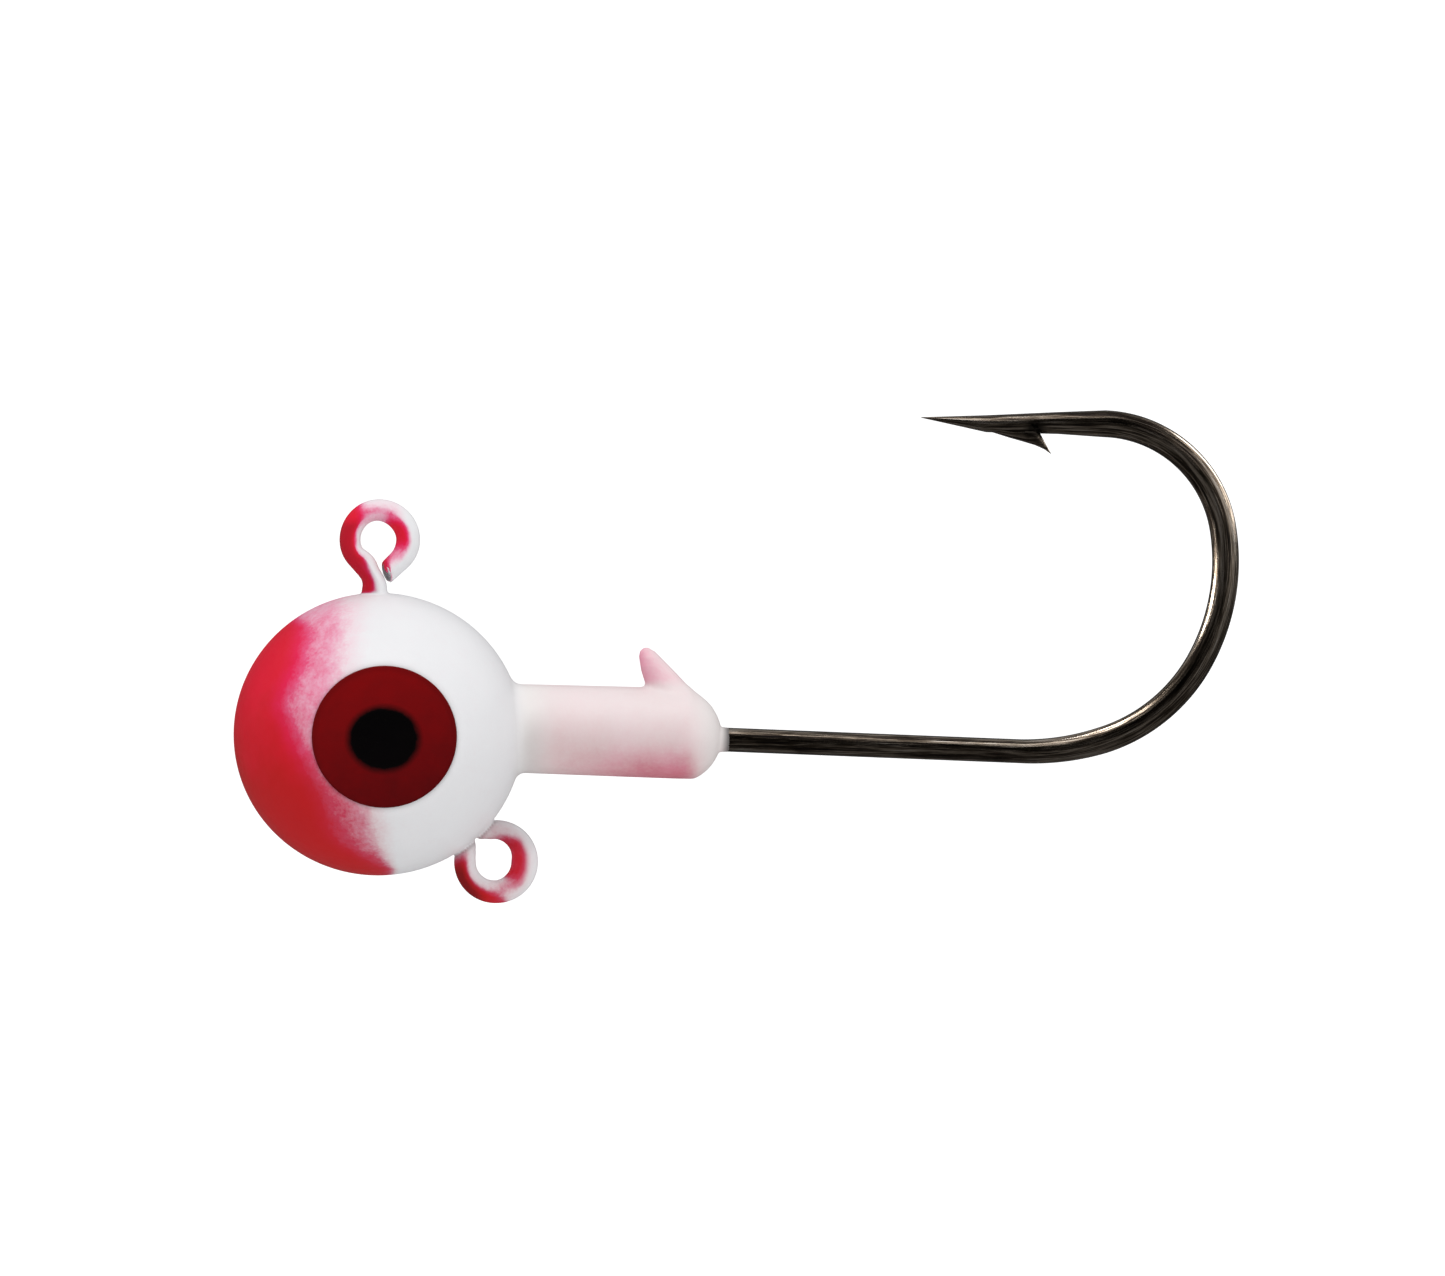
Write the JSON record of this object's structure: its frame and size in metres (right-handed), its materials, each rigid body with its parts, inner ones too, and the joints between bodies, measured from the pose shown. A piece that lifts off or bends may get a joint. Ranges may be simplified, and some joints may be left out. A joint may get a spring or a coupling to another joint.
{
  "type": "jig head",
  "caption": "Painted round lead jig head with a barbed collar keeper, fish eyes, line tie, lower rear eye and upturned barbed hook.",
  "frame": {"origin": "the middle of the box around the whole jig head, which lies in the hook's plane; the middle of the ball is 12.98 mm towards -X and 2.83 mm towards -Z from it", "axes": "+X from the ball's nose towards the bend of the hook, +Z to the side of the line tie and of the hook's point, +Y to the lure's right side; the wire lies in the plane Y = 0"},
  "size_m": [0.0364, 0.009, 0.0178],
  "materials": {
    "black_nickel_wire": "gloss",
    "lead": "matte",
    "tinned_wire": "satin",
    "head_paint": "gloss",
    "iris_enamel": "satin",
    "pupil_enamel": "gloss"
  },
  "bodies": {
    "root": {"jig_hook": "black_nickel_wire", "head_casting": "lead", "stinger_eye": "tinned_wire", "powder_coat": "head_paint", "left_iris": "iris_enamel", "right_iris": "iris_enamel", "left_pupil": "pupil_enamel", "right_pupil": "pupil_enamel"}
  },
  "joints": []
}
